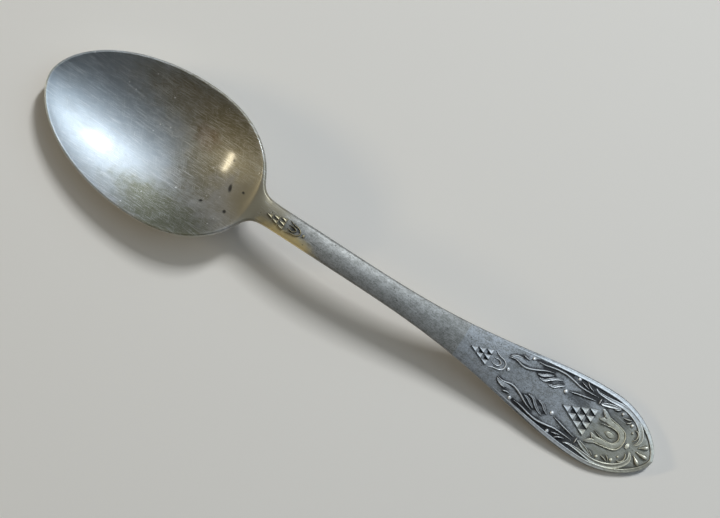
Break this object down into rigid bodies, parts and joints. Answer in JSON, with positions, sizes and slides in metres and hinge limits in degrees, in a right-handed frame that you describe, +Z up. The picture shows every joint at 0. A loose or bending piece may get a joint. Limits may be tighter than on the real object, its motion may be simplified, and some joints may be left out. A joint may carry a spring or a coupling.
{
  "type": "teaspoon",
  "caption": "Silver-plated souvenir teaspoon with an egg-shaped bowl, a slim arched stem and a broad handle end struck with a tulip, scroll and leaf relief.",
  "frame": {"origin": "on the table, under the middle of the spoon's length and width, with the spoon lying on its bowl and on the foot of its handle", "axes": "+X along the spoon from the bowl's tip to the handle's tip, +Y across it, +Z up"},
  "size_m": [0.14, 0.0298, 0.0132],
  "materials": {
    "bowl_silver": "worn silver plate, fine scratches, brown-black tarnish near the heel",
    "stem_silver": "worn silver plate, mottled and pitted",
    "oxidised_ground": "oxidised, dull and dark in the sunk ground",
    "relief_silver": "silver plate, rubbed bright on its high places"
  },
  "bodies": {
    "root": {"bowl": "bowl_silver", "neck": "stem_silver", "stem": "stem_silver", "handle_end": "oxidised_ground", "border_rim": "relief_silver", "neck_pyramid": "relief_silver", "neck_tulip": "relief_silver", "neck_bead": "relief_silver", "shoulder_pyramid": "relief_silver", "shoulder_tulip": "relief_silver", "shoulder_bead": "relief_silver", "end_pyramid": "relief_silver", "end_tulip": "relief_silver", "tulip_heart": "relief_silver", "tie_block": "relief_silver", "scroll_left": "relief_silver", "scroll_right": "relief_silver", "spray_left": "relief_silver", "spray_right": "relief_silver", "beads_left": "relief_silver", "beads_right": "relief_silver", "tip_drops": "relief_silver"}
  },
  "joints": []
}
